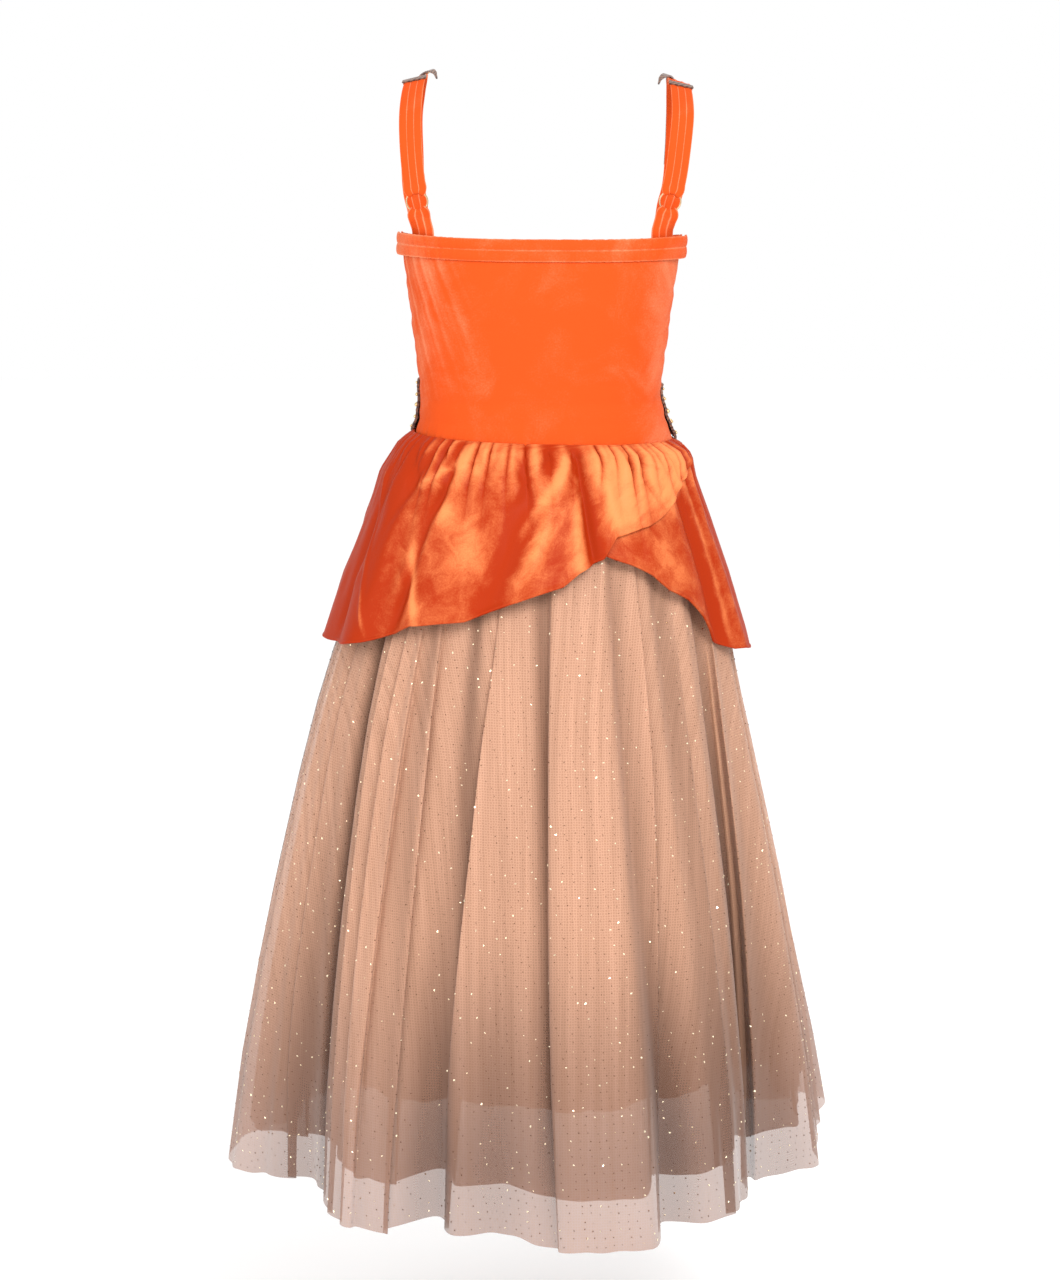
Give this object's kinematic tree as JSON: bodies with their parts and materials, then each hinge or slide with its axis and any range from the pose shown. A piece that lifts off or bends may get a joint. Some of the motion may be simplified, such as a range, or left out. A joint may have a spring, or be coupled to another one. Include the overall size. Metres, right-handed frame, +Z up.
{
  "type": "costume dress",
  "caption": "Child's costume dress: strapped velvet bodice, crossed gathered peplum and a long layered net skirt, shaped as worn.",
  "frame": {"origin": "midway between the undersides of the two shoulder straps, where the wearer's shoulders carry them", "axes": "+Z up along the body, -Y towards the back of the dress (the side with the strap rings), +X towards the wearer's right"},
  "size_m": [0.5426, 0.5235, 0.9562],
  "materials": {
    "velvet": "short pile velvet with a soft sheen",
    "velvet_peplum": "pressed velvet with a satin sheen",
    "glitter_net": "sheer net with glued glitter dots",
    "net": "sheer matt net",
    "lining": "plain woven lining, low sheen",
    "braid": "dark braid with small beads",
    "ring_metal": "polished pale gold plating"
  },
  "bodies": {
    "root": {"bodice_back": "velvet", "bodice_front": "velvet", "top_casing": "velvet", "waist_trim": "braid", "peplum_over": "velvet_peplum", "peplum_under": "velvet_peplum", "net_skirt_back": "glitter_net", "under_net_back": "net", "lining_back": "lining", "net_skirt_front": "glitter_net", "under_net_front": "net", "lining_front": "lining", "strap_back_left": "velvet", "strap_tab_left": "velvet", "ring_left": "ring_metal", "strap_front_left": "velvet", "shoulder_braid_left": "braid", "neck_trim_left": "braid", "strap_back_right": "velvet", "strap_tab_right": "velvet", "ring_right": "ring_metal", "strap_front_right": "velvet", "shoulder_braid_right": "braid", "neck_trim_right": "braid"}
  },
  "joints": []
}
